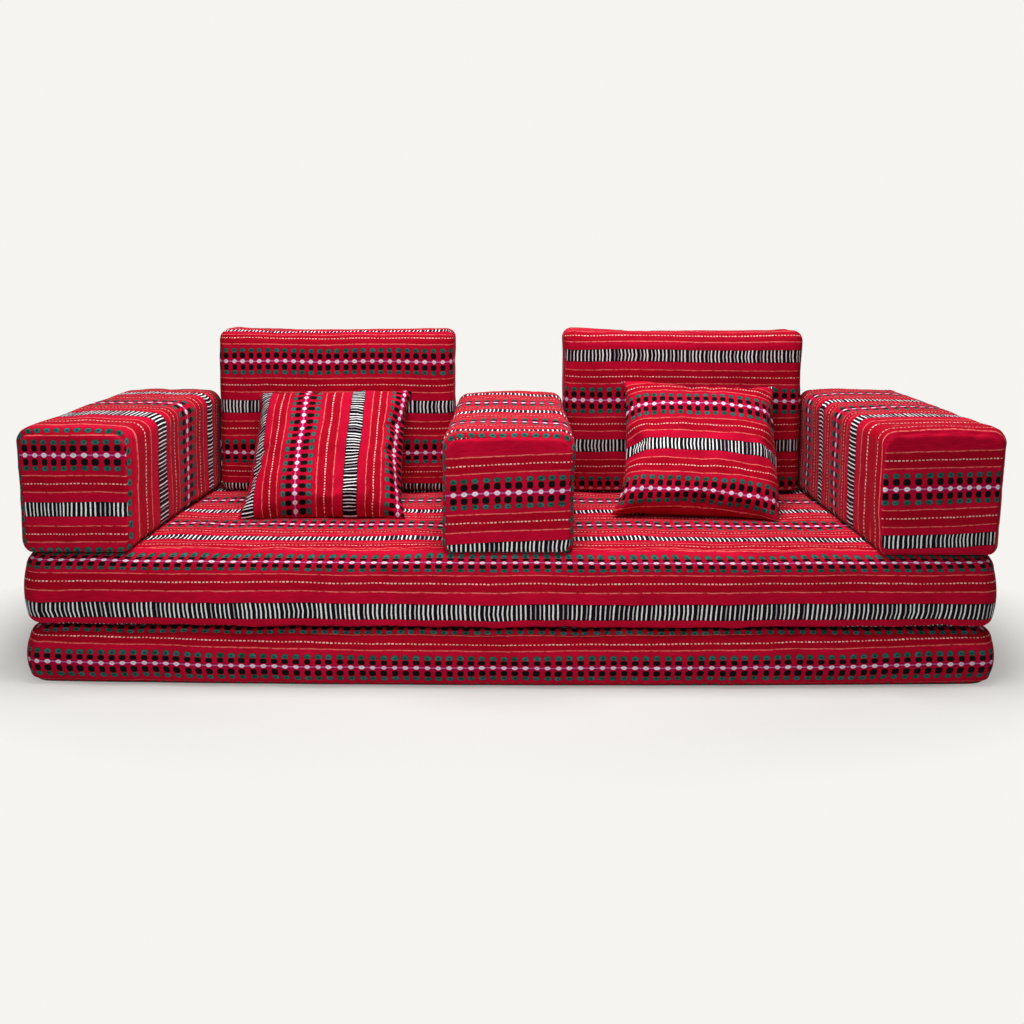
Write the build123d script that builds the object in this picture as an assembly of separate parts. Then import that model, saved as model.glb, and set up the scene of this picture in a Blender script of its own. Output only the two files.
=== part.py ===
"""A low floor sofa of loose cushions: two stacked mattresses, three arm bolsters,
two upright back cushions and two scatter pillows. Every cover is cut from the same
woven cloth. Each block cushion is a foam block in a zipped cover, and each pillow is
a stuffed case with an overlap at its back.

Millimetres. The origin is on the floor, at the centre of the mattresses' plan.
+X is to the right as seen from the front, +Y is towards the back, and +Z is up.
"""
import os
from math import cos, radians, sin

from build123d import *

os.makedirs("parts", exist_ok=True)

# Cloth and the room that a soft piece keeps from its neighbour
cover_wall = 2.5
soft_gap = 0.3
overrun = 5.0

# Mattresses
seat_width = 1996.0
seat_depth = 700.0
seat_corner = 46.0
seat_front_bow = 14.0
seat_end_bow = 4.0
lower_thick = 120.0
upper_thick = 157.0
seat_top_roll_in = 56.0
seat_top_roll_deep = 48.0
lower_top_roll_deep = 34.0
seat_base_roll_in = 34.0
seat_base_roll_deep = 26.0
seat_swell = 5.0

# Arm bolsters: width and height of each. They start flush with the mattresses' front
# edge and end short of the rear one, and the outer two overhang the ends a little.
arm_setback = 80.0
arm_overhang = 12.0
left_arm_width = 242.0
left_arm_height = 253.0
centre_arm_middle = -3.0
centre_arm_width = 270.0
centre_arm_height = 246.0
right_arm_width = 264.0
right_arm_height = 256.0
arm_top_corner = 40.0
arm_base_corner = 24.0
arm_top_bow = 6.0
arm_roll_in = 36.0
arm_roll_deep = 30.0

# Back cushions: gaps to the centre arm, and least gap to an outer arm
left_back_gap = 9.0
right_back_gap = 3.0
back_outer_gap = 4.0
back_height = 415.0
back_thick = 152.0
back_top_corner = 30.0
back_base_corner = 24.0
back_draw_in = 6.0
back_roll_in = 78.0
back_roll_deep = 40.0
back_swell = 4.0

# Scatter pillows: shift across from the back cushion's middle, lean from upright,
# spin in their own plane and turn about the upright
pillow_size = 385.0
pillow_thick = 126.0
pillow_seam_corner = 16.0
pillow_crown_corner = 36.0
pillow_draw_in = 12.0
pillow_crown_in = 150.0
pillow_squash = 9.0
pillow_flap_height = 24.0
left_pillow_shift = 11.5
left_pillow_lean = 46.0
left_pillow_spin = -1.5
left_pillow_turn = 0.0
right_pillow_shift = 16.5
right_pillow_lean = 42.0
right_pillow_spin = 4.0
right_pillow_turn = -3.0

# Coil zips
zip_tape_width = 12.0
zip_tape = 1.0
zip_coil_width = 6.4
zip_coil_height = 2.2
zip_stop = 3.0
zip_recess = 1.2
zip_run = 0.3
zip_slider_length = 15.0
zip_slider_nose = 13.0
zip_slider_tail = 10.0
zip_slider_plate = 1.2
zip_lug_length = 5.0
zip_lug_width = 2.6
zip_lug_wall = 1.3
zip_bar_radius = 1.0
zip_bar_running = 0.05
zip_pull_length = 30.0
zip_pull_width = 9.0
zip_pull_thick = 1.7
zip_pull_window = 7.0
zip_pull_leg = 1.4
zip_pull_heel = 0.6
zip_pull_hole = 3.2
seat_zip_from_end = 98.0
arm_zip_from_front = 70.0
arm_zip_from_back = 38.0
arm_zip_height = 46.0
back_zip_from_side = 93.5
back_zip_height = 92.0

# Roll of a sewn edge and of the foam's cut edge, as angles round a quarter ellipse
roll_angle_shares = (0.0, 0.33, 0.67, 1.0)
foam_angle_shares = (0.0, 0.67, 1.0)
# Rise of a stuffed pillow from its seam to its crown, as shares of the run in
# from the seam and of the rise
pillow_in_shares = (0.0, 0.12, 0.34, 0.64, 1.0)
pillow_up_shares = (0.0, 0.36, 0.69, 0.91, 1.0)
filling_in_shares = (0.0, 0.22, 0.6, 1.0)
filling_up_shares = (0.0, 0.5, 0.87, 1.0)

seat_front = -seat_depth / 2
seat_rear = seat_depth / 2
seat_end = seat_width / 2
lower_base = 0.0
upper_base = lower_thick + soft_gap
seat_top = upper_base + upper_thick
stand = seat_top + soft_gap
back_front = seat_rear - back_thick
arm_length = seat_depth - arm_setback
left_arm_inner = left_arm_width - seat_end - arm_overhang
left_arm_middle = left_arm_inner - left_arm_width / 2
right_arm_inner = seat_end + arm_overhang - right_arm_width
right_arm_middle = right_arm_inner + right_arm_width / 2
# Both back cushions are as wide as the narrower of the two spaces between the arms
left_back_side = centre_arm_middle - centre_arm_width / 2 - left_back_gap
right_back_side = centre_arm_middle + centre_arm_width / 2 + right_back_gap
back_width = min(left_back_side - left_arm_inner, right_arm_inner - right_back_side) - back_outer_gap
left_back_middle = left_back_side - back_width / 2
right_back_middle = right_back_side + back_width / 2
left_pillow_middle = left_back_middle + left_pillow_shift
right_pillow_middle = right_back_middle + right_pillow_shift
seat_zip_length = seat_width - 2 * seat_zip_from_end
arm_zip_start = back_front - arm_zip_from_back
arm_zip_length = arm_zip_start - seat_front - arm_zip_from_front
back_zip_length = back_width - 2 * back_zip_from_side
quarter_turn = 90.0


def soft_outline(left, right, base, top, bows, corners):
    """Closed face: a rectangle of four lines or shallow arcs with rounded corners.

    bows are the outward rises of the base, right, top and left sides, and corners
    are the radii at the base and at the top."""
    points = [(left, base), (right, base), (right, top), (left, top)]
    middle_x, middle_y = (left + right) / 2, (base + top) / 2
    base_bow, right_bow, top_bow, left_bow = bows
    crests = [
        (middle_x, base - base_bow),
        (right + right_bow, middle_y),
        (middle_x, top + top_bow),
        (left - left_bow, middle_y),
    ]
    sides = []
    for index, crest in enumerate(crests):
        start, end = points[index], points[(index + 1) % len(points)]
        if bows[index]:
            sides.append(ThreePointArc(start, crest, end))
        else:
            sides.append(Line(start, end))
    face = make_face(sides)
    base_radius, top_radius = corners
    lowest = face.vertices().sort_by(Axis.Y)[:2]
    face = fillet(lowest, base_radius)
    highest = [v for v in face.vertices() if v.Y > middle_y]
    highest = sorted(highest, key=lambda v: v.Y)[-2:]
    return fillet(highest, top_radius)


def roll_steps(reach, deep, thin, shares):
    """Depth from the face and inset from the side at each step of a rolled edge.

    A quarter ellipse from the face to the side, drawn in by thin all round."""
    steps = []
    for share in shares:
        angle = radians(quarter_turn * share)
        depth = deep - (deep - thin) * cos(angle)
        inset = reach - (reach - thin) * sin(angle)
        steps.append((depth, inset))
    return steps


def start_roll(outline, reach, deep, thin, shares):
    """Rolled end at the start of a block cushion, along local +Z."""
    steps = roll_steps(reach, deep, thin, shares)
    sections = [Pos(0, 0, depth) * outline(inset, thin) for depth, inset in steps]
    return loft(sections, ruled=True)


def end_roll(outline, length, reach, deep, thin, shares):
    """Rolled end at the far end of a block cushion."""
    steps = roll_steps(reach, deep, thin, shares)
    sections = [Pos(0, 0, length - depth) * outline(inset, thin) for depth, inset in steps]
    return loft(sections[::-1], ruled=True)


def boxing_band(outline, start, end, swell, thin):
    """Side band of a block cushion, swelling a little at its middle."""
    middle = (start + end) / 2
    steps = [(start, thin), (middle, thin - swell), (end, thin)]
    if not swell:
        steps = [(start, thin), (end, thin)]
    sections = [Pos(0, 0, z) * outline(inset, thin) for z, inset in steps]
    return loft(sections, ruled=True)


class BlockCushion:
    """Covers and foam of one block cushion, built along local +Z from z = 0."""

    def __init__(self, outline, length, start, end, swell):
        self.outline = outline
        self.length = length
        self.start_reach, self.start_deep = start
        self.end_reach, self.end_deep = end
        self.swell = swell

    def start_part(self, thin, shares):
        return start_roll(self.outline, self.start_reach, self.start_deep, thin, shares)

    def end_part(self, thin, shares):
        return end_roll(self.outline, self.length, self.end_reach, self.end_deep, thin, shares)

    def band_part(self, thin, swell):
        return boxing_band(self.outline, self.start_deep, self.length - self.end_deep, swell, thin)

    def start_cover(self):
        return self.start_part(0, roll_angle_shares) - self.start_part(cover_wall, roll_angle_shares)

    def end_cover(self):
        return self.end_part(0, roll_angle_shares) - self.end_part(cover_wall, roll_angle_shares)

    def band_cover(self):
        return self.band_part(0, self.swell) - self.band_part(cover_wall, self.swell)

    def foam(self):
        thin = cover_wall + soft_gap
        ends = self.start_part(thin, foam_angle_shares) + self.end_part(thin, foam_angle_shares)
        return ends + self.band_part(thin, 0)


def seat_outline(inset, thin):
    """Plan of a mattress: straight rear side, slightly bowed front and ends."""
    half_width = seat_width / 2 - inset
    half_depth = seat_depth / 2 - inset
    bows = (seat_front_bow, seat_end_bow, 0, seat_end_bow)
    corner = seat_corner - thin
    return soft_outline(
        -half_width, half_width, -half_depth, half_depth, bows, (corner, corner)
    )


def arm_outline(width, height):
    """Upright section of an arm bolster: flat base, straight sides, crowned top."""

    def outline(inset, thin):
        half_width = width / 2 - inset
        bows = (0, 0, arm_top_bow, 0)
        corners = (arm_base_corner - thin, arm_top_corner - thin)
        return soft_outline(-half_width, half_width, inset, height - arm_top_bow - inset, bows, corners)

    return outline


def back_outline(inset, thin):
    """Upright face of a back cushion: flat base, other sides drawn in.

    The base stays level where the boxing swells, because the cushion stands on it."""
    half_width = back_width / 2 - inset
    base = max(inset, thin)
    bows = (0, -back_draw_in, -back_draw_in, -back_draw_in)
    corners = (back_base_corner - thin, back_top_corner - thin)
    return soft_outline(-half_width, half_width, base, back_height - inset, bows, corners)


def zip_chain(length):
    """Tape with a rounded coil along local +X and a stop at each end, on z = 0."""
    tape = Pos(length / 2, 0, zip_tape / 2) * Box(length, zip_tape_width, zip_tape)
    half_coil = zip_coil_width / 2
    left, crest, right = (-half_coil, 0), (0, zip_coil_height), (half_coil, 0)
    bead_face = make_face([ThreePointArc(left, crest, right), Line(right, left)])
    bead_length = length - 2 * zip_stop
    bead_frame = Plane((zip_stop, 0, zip_tape), x_dir=(0, 1, 0), z_dir=(1, 0, 0))
    bead = bead_frame.location * extrude(bead_face, bead_length)
    chain = tape + bead
    stop_height = zip_tape + zip_coil_height
    for middle in (zip_stop / 2, length - zip_stop / 2):
        stop = Box(zip_stop, zip_coil_width, stop_height)
        chain += Pos(middle, 0, stop_height / 2) * stop
    return chain


plate_base = zip_tape + zip_coil_height + zip_run
plate_top = plate_base + zip_slider_plate
bar_height = plate_top + zip_pull_thick / 2 + zip_run
lug_radius = zip_bar_radius + zip_lug_wall
slider_middle = zip_stop + zip_run + zip_slider_length / 2


def zip_slider():
    """Slider at the start of the chain: a saddle over the coil with a bored lug."""
    half_length = zip_slider_length / 2
    half_nose, half_tail = zip_slider_nose / 2, zip_slider_tail / 2
    shoulder = half_length - zip_slider_plate
    plan = Polyline(
        (-half_length, -half_tail),
        (0, -half_nose),
        (shoulder, -half_nose),
        (half_length, -half_tail),
        (half_length, half_tail),
        (shoulder, half_nose),
        (0, half_nose),
        (-half_length, half_tail),
        close=True,
    )
    body_base = zip_tape + zip_run
    body = Pos(0, 0, body_base) * extrude(make_face(plan), plate_top - body_base)
    channel_width = zip_coil_width + 2 * zip_run
    channel_height = plate_base - body_base + overrun
    channel = Box(zip_slider_length + overrun, channel_width, channel_height)
    body -= Pos(0, 0, plate_base - channel_height / 2) * channel
    post = Box(zip_lug_length, zip_lug_width, bar_height - plate_top + zip_slider_plate / 2)
    post_middle = (bar_height + plate_top - zip_slider_plate / 2) / 2
    lug = Pos(0, 0, post_middle) * post
    eye = Rot(quarter_turn, 0, 0) * Cylinder(lug_radius, zip_lug_width)
    lug += Pos(0, 0, bar_height) * eye
    bore = Rot(quarter_turn, 0, 0) * Cylinder(zip_bar_radius + zip_bar_running, zip_slider_nose)
    lug -= Pos(0, 0, bar_height) * bore
    return Pos(slider_middle, 0, 0) * (body + lug)


def zip_pull():
    """Pull lying along the chain: a bar through the lug, two legs and a holed tab."""
    window_width = zip_lug_width + 2 * zip_run
    half_neck = window_width / 2 + zip_pull_leg
    half_width = zip_pull_width / 2
    tip = zip_pull_length - zip_pull_heel
    plan = Polyline(
        (-zip_pull_heel, -half_neck),
        (zip_pull_window, -half_neck),
        (tip - half_width, -half_width),
        (tip, -half_neck),
        (tip, half_neck),
        (tip - half_width, half_width),
        (zip_pull_window, half_neck),
        (-zip_pull_heel, half_neck),
        close=True,
    )
    window = Rectangle(zip_pull_window, window_width, align=(Align.MIN, Align.CENTER))
    hole = Rectangle(zip_pull_hole, window_width)
    plate = make_face(plan) - Pos(-zip_pull_heel, 0) * window
    plate -= Pos(tip - half_width, 0) * hole
    tab = Pos(0, 0, -zip_pull_thick / 2) * extrude(plate, zip_pull_thick)
    bar = Rot(quarter_turn, 0, 0) * Cylinder(zip_bar_radius, window_width + zip_pull_leg)
    return Pos(slider_middle, 0, bar_height) * (tab + bar)


def zip_slot(length):
    """Block that clears a flat recess for the chain, from local z = 0 outwards."""
    width = zip_tape_width + 2 * zip_run
    block = Box(length + 2 * zip_run, width, overrun)
    return Pos(length / 2, 0, overrun / 2) * block


def export(part, name):
    part.label = name
    export_step(part, os.path.join("parts", name + ".step"))


def export_zip(name, length, frame):
    """Write a zip's chain, slider and pull where they lie on their cushion."""
    export(frame * zip_chain(length), name + "_zip_chain")
    export(frame * zip_slider(), name + "_zip_slider")
    export(frame * zip_pull(), name + "_zip_pull")


# Mattresses, built upwards from their bottom panels
seats = {
    "lower": (lower_base, lower_thick, lower_top_roll_deep),
    "upper": (upper_base, upper_thick, seat_top_roll_deep),
}
for name, (base, thick, top_deep) in seats.items():
    cushion = BlockCushion(
        seat_outline,
        thick,
        (seat_base_roll_in, seat_base_roll_deep),
        (seat_top_roll_in, top_deep),
        seat_swell,
    )
    place = Pos(0, 0, base)
    band_middle = (seat_base_roll_deep + thick - top_deep) / 2
    zip_start = (seat_zip_length / 2, seat_rear + seat_swell - zip_recess, band_middle)
    zip_frame = Plane(zip_start, x_dir=(-1, 0, 0), z_dir=(0, 1, 0)).location
    boxing = cushion.band_cover() - zip_frame * zip_slot(seat_zip_length)
    export(place * cushion.end_cover(), name + "_mattress_top_panel")
    export(place * boxing, name + "_mattress_boxing")
    export(place * cushion.start_cover(), name + "_mattress_bottom_panel")
    export(place * cushion.foam(), name + "_mattress_foam")
    export_zip(name + "_mattress", seat_zip_length, place * zip_frame)

# Arm bolsters, built forwards from their rear end panels
arm_rear = seat_front + arm_length
arms = {
    "left_arm": (left_arm_middle, left_arm_width, left_arm_height, -1),
    "centre_arm": (centre_arm_middle, centre_arm_width, centre_arm_height, 1),
    "right_arm": (right_arm_middle, right_arm_width, right_arm_height, 1),
}
for name, (middle, width, height, zip_side) in arms.items():
    cushion = BlockCushion(
        arm_outline(width, height),
        arm_length,
        (arm_roll_in, arm_roll_deep),
        (arm_roll_in, arm_roll_deep),
        0,
    )
    place = Plane((middle, arm_rear, stand), x_dir=(1, 0, 0), z_dir=(0, -1, 0)).location
    side = middle + zip_side * (width / 2 - zip_recess)
    zip_start = (side, arm_zip_start, stand + arm_zip_height)
    zip_frame = Plane(zip_start, x_dir=(0, -1, 0), z_dir=(zip_side, 0, 0)).location
    sleeve = place * cushion.band_cover() - zip_frame * zip_slot(arm_zip_length)
    export(sleeve, name + "_sleeve")
    export(place * cushion.end_cover(), name + "_front_panel")
    export(place * cushion.start_cover(), name + "_rear_panel")
    export(place * cushion.foam(), name + "_foam")
    export_zip(name, arm_zip_length, zip_frame)

# Back cushions, built forwards from their back panels
backs = {"left_back": left_back_middle, "right_back": right_back_middle}
for name, middle in backs.items():
    cushion = BlockCushion(
        back_outline,
        back_thick,
        (back_roll_in, back_roll_deep),
        (back_roll_in, back_roll_deep),
        back_swell,
    )
    place = Plane((middle, seat_rear, stand), x_dir=(1, 0, 0), z_dir=(0, -1, 0)).location
    zip_start = (middle + back_zip_length / 2, seat_rear - zip_recess, stand + back_zip_height)
    zip_frame = Plane(zip_start, x_dir=(-1, 0, 0), z_dir=(0, 1, 0)).location
    back_panel = place * cushion.start_cover() - zip_frame * zip_slot(back_zip_length)
    export(place * cushion.end_cover(), name + "_front_panel")
    export(place * cushion.band_cover(), name + "_boxing")
    export(back_panel, name + "_back_panel")
    export(place * cushion.foam(), name + "_foam")
    export_zip(name, back_zip_length, zip_frame)


def pillow_half(thin, in_shares=pillow_in_shares, up_shares=pillow_up_shares):
    """Half of a stuffed pillow, from its seam at z = 0 up to its crown."""
    sections = []
    for share_in, share_up in zip(in_shares, up_shares):
        inset = thin + share_in * (pillow_crown_in - thin)
        rise = share_up * (pillow_thick / 2 - thin)
        half = pillow_size / 2 - inset
        bow = -pillow_draw_in * (1 - share_in)
        corner = pillow_seam_corner + share_in * (pillow_crown_corner - pillow_seam_corner)
        outline = soft_outline(-half, half, -half, half, (bow,) * 4, (corner, corner))
        sections.append(Pos(0, 0, rise) * outline)
    return loft(sections, ruled=True)


def above(shape, height):
    """What is left of a shape over a level plane."""
    reach = 2 * pillow_size
    block = Box(reach, reach, reach, align=(Align.CENTER, Align.CENTER, Align.MAX))
    box = shape.bounding_box()
    return shape - Pos(box.center().X, box.center().Y, height) * block


# Scatter pillows, leaning on the back cushions with their lower edges squashed
pillows = {
    "left_pillow": (left_pillow_middle, left_pillow_lean, left_pillow_spin, left_pillow_turn),
    "right_pillow": (right_pillow_middle, right_pillow_lean, right_pillow_spin, right_pillow_turn),
}
facing_back = Rot(0, 2 * quarter_turn, 0)
for name, (middle, lean, spin, turn) in pillows.items():
    tilt = Rot(0, 0, turn) * Rot(quarter_turn - lean, 0, 0) * Rot(0, 0, -spin)
    cover, lining, stuffing = 0.0, cover_wall, cover_wall + soft_gap
    whole = tilt * (pillow_half(cover) + facing_back * pillow_half(cover))
    box = whole.bounding_box()
    place = Pos(middle, back_front - soft_gap - box.max.Y, stand - pillow_squash - box.min.Z) * tilt
    shells = []
    for side in (Location(), facing_back):
        outer = above(place * side * pillow_half(cover), stand)
        inner = above(place * side * pillow_half(lining), stand + cover_wall)
        shells.append(outer - inner)
    front_shell, back_shell = shells
    half_block = Box(
        2 * pillow_size, 2 * pillow_size, 2 * pillow_size,
        align=(Align.CENTER, Align.MIN, Align.CENTER),
    )
    upper_space = place * Pos(0, pillow_flap_height, 0) * half_block
    half_filling = pillow_half(stuffing, filling_in_shares, filling_up_shares)
    filling = half_filling + facing_back * half_filling
    filling = above(place * filling, stand + cover_wall + soft_gap)
    export(front_shell, name + "_front_panel")
    export(back_shell & upper_space, name + "_upper_back_flap")
    export(back_shell - upper_space, name + "_lower_back_flap")
    export(filling, name + "_filling")
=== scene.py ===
"""Look of a low floor sofa of loose woven cushions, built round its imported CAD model.

Metres, in the CAD model's frame: the origin is on the floor at the middle of the mattresses,
+X is to the right as seen from the front, +Y is towards the back cushions and +Z is up.
"""
from math import radians

import bpy
import numpy as np
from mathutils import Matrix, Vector


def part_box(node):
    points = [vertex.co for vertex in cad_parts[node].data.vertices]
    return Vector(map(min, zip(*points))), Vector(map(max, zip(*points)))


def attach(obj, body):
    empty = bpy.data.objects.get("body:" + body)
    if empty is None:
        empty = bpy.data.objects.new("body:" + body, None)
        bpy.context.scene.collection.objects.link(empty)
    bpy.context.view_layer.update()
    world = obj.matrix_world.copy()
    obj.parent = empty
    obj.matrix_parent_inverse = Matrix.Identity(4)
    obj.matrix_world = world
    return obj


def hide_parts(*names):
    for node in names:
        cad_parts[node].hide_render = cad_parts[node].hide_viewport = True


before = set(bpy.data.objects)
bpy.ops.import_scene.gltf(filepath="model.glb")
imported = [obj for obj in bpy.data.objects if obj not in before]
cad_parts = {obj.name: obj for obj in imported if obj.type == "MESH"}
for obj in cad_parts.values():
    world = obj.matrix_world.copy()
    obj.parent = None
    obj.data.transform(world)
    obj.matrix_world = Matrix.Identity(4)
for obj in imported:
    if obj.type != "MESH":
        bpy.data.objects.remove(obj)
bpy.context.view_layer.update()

# Camera: in front of the sofa and a little above it, looking slightly down, with the lens
# raised off the picture's middle as a product photographer frames a low piece.
looking_down, roll, yaw = 4.99, -0.157, 0.0945
camera = bpy.data.objects.new("camera", bpy.data.cameras.new("camera"))
camera.data.sensor_width = 36
camera.data.lens = 35.81
camera.data.shift_y = -0.1543
camera.location = (0.0055, -2.371, 0.858)
camera.rotation_euler = (radians(90 - looking_down), radians(roll), radians(yaw))
bpy.context.scene.collection.objects.link(camera)
bpy.context.scene.camera = camera
bpy.context.scene.view_settings.view_transform = "Standard"


# Floor and light: a plain pale studio floor, a softbox in front and a larger one overhead, and
# even light from all round. Camera rays see the floor and the room in the same pale colour.
def node(tree, kind, inputs=(), output=0, **settings):
    """One output of a new shader node. inputs gives its sockets plain values or other outputs."""
    made = tree.nodes.new("ShaderNode" + kind)
    for setting, value in settings.items():
        setattr(made, setting, value)
    for socket, value in dict(inputs).items():
        if isinstance(value, bpy.types.NodeSocket):
            tree.links.new(value, made.inputs[socket])
        else:
            made.inputs[socket].default_value = value
    return made.outputs[output]


def calc(operation, *terms, clamp=False):
    """One math node, in the tree of its first term that is an output; others are numbers."""
    tree = next(term.id_data for term in terms if isinstance(term, bpy.types.NodeSocket))
    return node(tree, "Math", dict(enumerate(terms)), operation=operation, use_clamp=clamp)


def plus(a, b, clamp=False):
    """a + b, held from 0 to 1 where clamp is true."""
    return calc("ADD", a, b, clamp=clamp)


def times(a, b):
    """a times b."""
    return calc("MULTIPLY", a, b)


def ramp(x, slope, start, clamp=False):
    """x times slope, plus start, held from 0 to 1 where clamp is true."""
    return calc("MULTIPLY_ADD", x, slope, start, clamp=clamp)


def seen_directly(tree):
    """1 for rays from the camera and for reflections and glass, 0 for light on surfaces."""
    path = tree.nodes.new("ShaderNodeLightPath").outputs
    return plus(plus(path["Is Camera Ray"], path["Is Glossy Ray"]), path["Is Transmission Ray"], clamp=True)


studio_pale = (0.922, 0.905, 0.871, 1)
floor_grey = (0.60, 0.60, 0.59, 1)
warm_white = (1, 0.99, 0.97, 1)
room_strength = 0.085

studio = bpy.data.worlds.new("studio")
studio.use_nodes = True
tree = studio.node_tree
tree.nodes.clear()
room_light = node(tree, "Background", {"Color": warm_white, "Strength": room_strength})
room_seen = node(tree, "Background", {"Color": studio_pale})
room = node(tree, "MixShader", {0: seen_directly(tree), 1: room_light, 2: room_seen})
tree.links.new(room, tree.nodes.new("ShaderNodeOutputWorld").inputs["Surface"])
bpy.context.scene.world = studio

lamp_aim = Vector((0, 0, 0.3))
for name, place, watts, width in (("front_softbox", (-0.30, -1.45, 1.25), 10.5, 0.8),
                                  ("top_softbox", (0.08, -0.30, 3.20), 117, 1.5)):
    lamp = bpy.data.objects.new(name, bpy.data.lights.new(name, "AREA"))
    lamp.data.shape = "DISK"
    lamp.data.size = width
    lamp.data.energy = watts
    lamp.location = place
    lamp.rotation_euler = (lamp_aim - Vector(place)).to_track_quat("-Z", "Y").to_euler()
    bpy.context.scene.collection.objects.link(lamp)

# The floor's own shading shows in an oval round the sofa and fades into the plain colour
oval_wide, oval_deep = 1.30, 0.72
floor_paint = bpy.data.materials.new("studio_floor")
floor_paint.use_nodes = True
tree = floor_paint.node_tree
tree.nodes.clear()
floor_lit = node(tree, "BsdfDiffuse", {"Color": floor_grey})
floor_seen = node(tree, "Emission", {"Color": studio_pale})
floor_place = node(tree, "TexCoord", output="Object")
floor_x, floor_y, _ = node(tree, "SeparateXYZ", {0: floor_place}).node.outputs
beside = calc("POWER", calc("DIVIDE", floor_x, oval_wide), 2)
ahead = calc("POWER", calc("DIVIDE", floor_y, oval_deep), 2)
fade = ramp(calc("SQRT", plus(beside, ahead)), 2.5, -1.75, clamp=True)
fade = times(calc("MAXIMUM", fade, 0.3), seen_directly(tree))
floor_mix = node(tree, "MixShader", {0: fade, 1: floor_lit, 2: floor_seen})
tree.links.new(floor_mix, tree.nodes.new("ShaderNodeOutputMaterial").inputs["Surface"])
reach = 30.0
floor_corners = [(-reach, -reach, 0), (reach, -reach, 0), (reach, reach, 0), (-reach, reach, 0)]
floor_mesh = bpy.data.meshes.new("floor")
floor_mesh.from_pydata(floor_corners, [], [(0, 1, 2, 3)])
floor_mesh.materials.append(floor_paint)
floor = bpy.data.objects.new("floor", floor_mesh)
bpy.context.scene.collection.objects.link(floor)


# Woven cloth: one red warp-striped cloth covers every cushion. Bands of lilac, black and green
# dots alternate with black bands of white bars, with thin and stitched lines between them.
# Sizes are in millimetres; rows are counted across the cloth from the middle of the dots.
half_repeat = 110.5
dot_pitch, stitch_pitch, bar_pitch = 22.2, 7.8, 9.4
black_row, green_row, stitch_row, bars_from = 14.0, 26.8, 58.0, 95.0
thin_rows = (41.5, 75.0)
crimson = (0.57, 0.0026, 0.0320, 1)
crimson_deep = (0.41, 0.0014, 0.0205, 1)
maroon = (0.35, 0.0009, 0.0105, 1)
magenta = (0.33, 0.0015, 0.060, 1)
salmon = (0.82, 0.17, 0.14, 1)
stitch_cream = (0.92, 0.60, 0.55, 1)
stitch_orange = (0.86, 0.34, 0.27, 1)
lilac = (0.52, 0.36, 0.56, 1)
lilac_pale = (0.74, 0.62, 0.73, 1)
lilac_white = (0.80, 0.78, 0.84, 1)
link_pink = (0.62, 0.16, 0.40, 1)
thread_black = (0.0035, 0.0035, 0.0042, 1)
thread_green = (0.006, 0.080, 0.055, 1)
thread_teal = (0.045, 0.170, 0.160, 1)
olive = (0.045, 0.022, 0.008, 1)
band_black = (0.006, 0.003, 0.005, 1)
bar_white = (0.92, 0.92, 0.93, 1)
bar_mauve = (0.30, 0.25, 0.32, 1)


def noise(place, scale, detail=2.0):
    """Smooth noise from 0 to 1 over the cloth."""
    inputs = {"Vector": place, "Scale": scale, "Detail": detail}
    return node(place.id_data, "TexNoise", inputs, "Fac", noise_dimensions="2D")


def joined(x, y):
    """Vector of two values."""
    return node(x.id_data, "CombineXYZ", {0: x, 1: y})


def chance(column, row):
    """A steady random value from 0 to 1 for each column and row."""
    inputs = {"Vector": joined(column, row)}
    return node(column.id_data, "TexWhiteNoise", inputs, "Value", noise_dimensions="2D")


def swing(luck, width):
    """A value that swings as far as half the width to each side of 0, as luck goes from 0 to 1."""
    return ramp(luck, width, -width / 2)


def mixed(factor, below, above):
    """Colour above laid over the colour below by factor."""
    return node(factor.id_data, "Mix", {0: factor, 6: below, 7: above}, 2, data_type="RGBA")


def minus(a, b):
    """a - b."""
    return calc("SUBTRACT", a, b)


def cells(place, pitch):
    """The number of the pitch that a place is in, and the distance to that pitch's middle."""
    number = calc("FLOOR", calc("DIVIDE", place, pitch))
    return number, minus(place, ramp(number, pitch, pitch / 2))


def stripe(distance, centre, half, soft):
    """1 within half of the centre line, fading over soft."""
    off = calc("ABSOLUTE", minus(distance, centre))
    return ramp(minus(half, off), 1 / soft, 0.5, clamp=True)


def woven_dot(along, across, half_along, half_across, power, soft):
    """1 inside a rounded dot: the two shares, raised to power, add up to less than 1."""
    x = calc("DIVIDE", calc("ABSOLUTE", along), half_along)
    y = calc("DIVIDE", calc("ABSOLUTE", across), half_across)
    size = plus(calc("POWER", x, power), calc("POWER", y, power))
    return ramp(minus(1.0, size), 1 / soft, 0.5, clamp=True)


weave = bpy.data.node_groups.new("striped_weave", "ShaderNodeTree")
weave.interface.new_socket("Cloth", in_out="INPUT", socket_type="NodeSocketVector")
for name, kind in (("Colour", "Color"), ("Roughness", "Float"), ("Height", "Float")):
    weave.interface.new_socket(name, in_out="OUTPUT", socket_type="NodeSocket" + kind)
entry = weave.nodes.new("NodeGroupInput").outputs["Cloth"]
entry_x, entry_y, _ = node(weave, "SeparateXYZ", {0: entry}).node.outputs
slow = noise(entry, 5.0)
quick = noise(entry, 60.0, 3.0)
u = ramp(entry_x, 1000.0, times(noise(entry, 45.0, 3.0), 1.6))
v = ramp(entry_y, 1000.0, swing(slow, 7.0))
v = plus(v, swing(quick, 2.0))
d = calc("PINGPONG", v, half_repeat)
half_band = calc("FLOOR", calc("DIVIDE", v, half_repeat))
dot_band = calc("ROUND", calc("DIVIDE", v, 2 * half_repeat))
bar_band = calc("FLOOR", calc("DIVIDE", v, 2 * half_repeat))

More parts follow.
